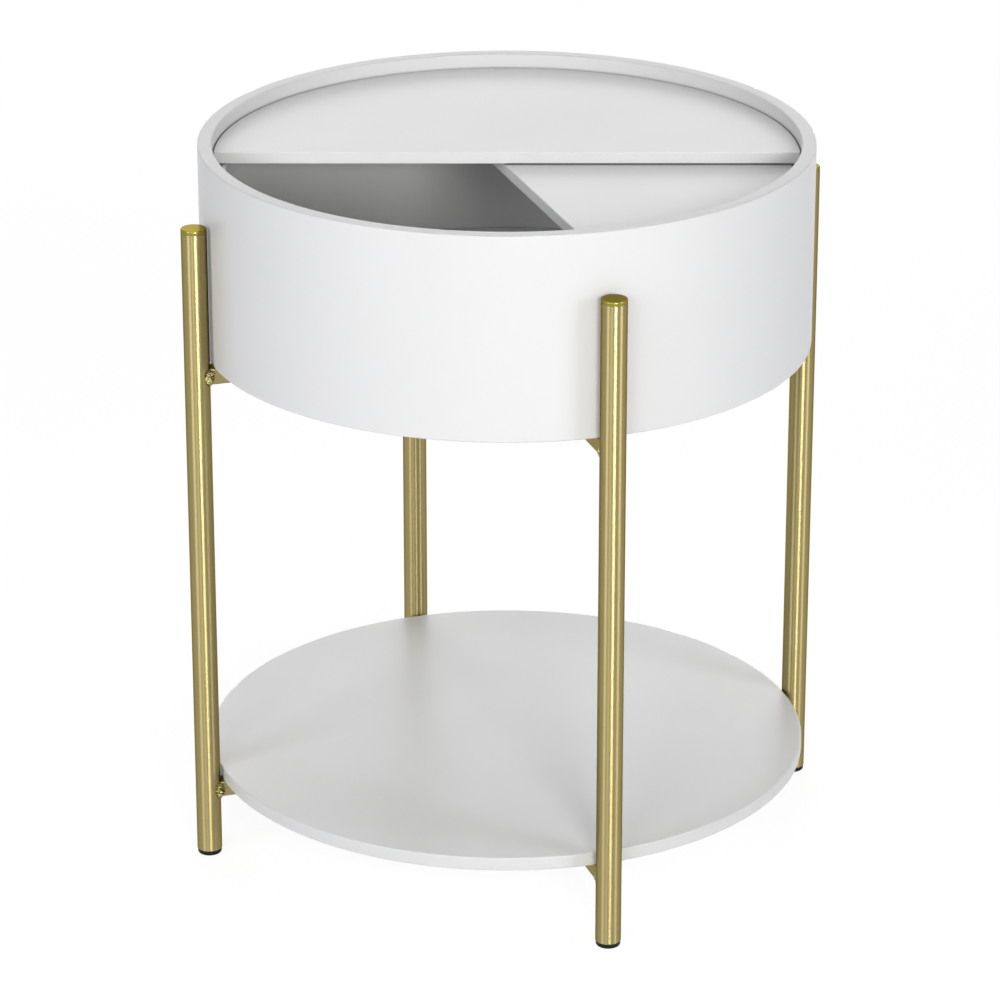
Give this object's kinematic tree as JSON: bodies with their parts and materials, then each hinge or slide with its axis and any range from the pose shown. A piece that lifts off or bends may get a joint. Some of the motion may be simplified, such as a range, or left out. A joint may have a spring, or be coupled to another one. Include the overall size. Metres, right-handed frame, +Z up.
{
  "type": "storage end table",
  "caption": "Round drum side table on tube legs; a recessed half lid turns about the drum's axis over a fixed half lid to open the storage space, with a round shelf near the floor.",
  "frame": {"origin": "on the floor under the drum's axis", "axes": "+Z up along the drum's axis; -Y is the front, which the turning lid's straight edge faces at rest; +X to the right of someone facing the front"},
  "size_m": [0.4762, 0.4762, 0.551],
  "materials": {
    "white_lacquer": "satin white lacquer on board",
    "gold_metal": "satin gold on steel tube",
    "gold_plastic": "moulded, gold",
    "black_plastic": "moulded, black",
    "white_nylon": "moulded nylon",
    "zinc_steel": "zinc plated",
    "plated_insert": "machined"
  },
  "bodies": {
    "table": {"drum_wall": "white_lacquer", "drum_floor": "white_lacquer", "support_hoop": "white_lacquer", "slide_rail": "white_nylon", "fixed_half_lid": "white_lacquer", "support_screws": "zinc_steel", "shelf": "white_lacquer", "leg_back_right": "gold_metal", "cap_back_right": "gold_plastic", "foot_back_right": "black_plastic", "leg_back_left": "gold_metal", "cap_back_left": "gold_plastic", "foot_back_left": "black_plastic", "leg_front_left": "gold_metal", "cap_front_left": "gold_plastic", "foot_front_left": "black_plastic", "leg_front_right": "gold_metal", "cap_front_right": "gold_plastic", "foot_front_right": "black_plastic", "drum_stub_back_right": "gold_metal", "drum_stub_back_left": "gold_metal", "drum_stub_front_left": "gold_metal", "drum_stub_front_right": "gold_metal", "drum_welds": "gold_metal", "drum_inserts": "plated_insert", "drum_washers": "zinc_steel", "drum_bolts": "zinc_steel", "shelf_stub_back_right": "gold_metal", "shelf_stub_back_left": "gold_metal", "shelf_stub_front_left": "gold_metal", "shelf_stub_front_right": "gold_metal", "shelf_welds": "gold_metal", "shelf_inserts": "plated_insert", "shelf_washers": "zinc_steel", "shelf_bolts": "zinc_steel"},
    "lid": {"turning_half_lid": "white_lacquer", "lid_glides": "white_nylon"}
  },
  "joints": [
    {"name": "lid_turn", "type": "hinge", "parent": "table", "child": "lid", "pos_m": [0, 0, 0.531], "axis": [0, 0, 1], "continuous": true}
  ]
}
